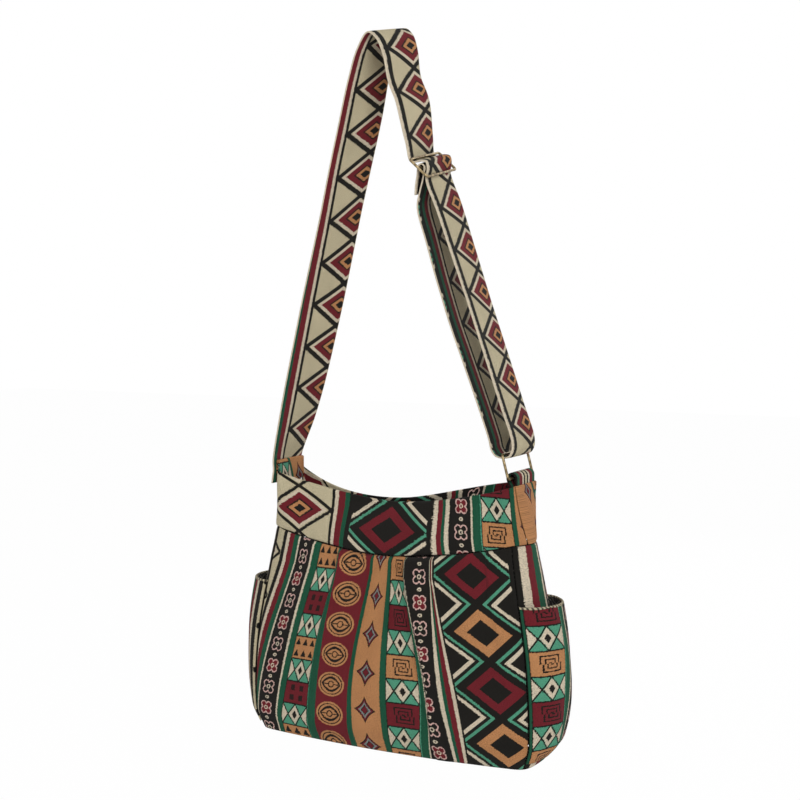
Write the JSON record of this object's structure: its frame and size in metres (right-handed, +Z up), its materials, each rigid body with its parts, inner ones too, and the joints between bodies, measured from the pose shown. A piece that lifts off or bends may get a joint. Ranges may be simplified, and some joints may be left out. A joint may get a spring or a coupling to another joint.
{
  "type": "woven jacquard shoulder bag",
  "caption": "Soft shoulder bag of woven patterned cloth with a dipped open mouth, side slip pockets and one wide adjustable strap.",
  "frame": {"origin": "underside of the strap's top fold, where the bag hangs", "axes": "+Z up, -Y the pleated front, +X the side with the ring"},
  "size_m": [0.3852, 0.1212, 0.7737],
  "materials": {
    "jacquard_cloth": "woven, matt",
    "strap_cloth": "woven, matt",
    "antique_brass": "aged satin"
  },
  "bodies": {
    "bag": {"front_yoke": "jacquard_cloth", "back_yoke": "jacquard_cloth", "front_panel": "jacquard_cloth", "back_panel": "jacquard_cloth", "right_side_yoke": "jacquard_cloth", "left_side_yoke": "jacquard_cloth", "right_gusset": "jacquard_cloth", "left_gusset": "jacquard_cloth", "bottom_panel": "jacquard_cloth", "right_pocket": "jacquard_cloth", "left_pocket": "jacquard_cloth", "ring_tab": "strap_cloth", "strap": "strap_cloth", "slider": "antique_brass"},
    "ring": {"ring": "antique_brass"}
  },
  "joints": [
    {"name": "ring_swing", "type": "hinge", "parent": "bag", "child": "ring", "pos_m": [0.1574, 0, -0.4664], "axis": [0, 1, 0], "range_deg": [-4, 8]}
  ]
}
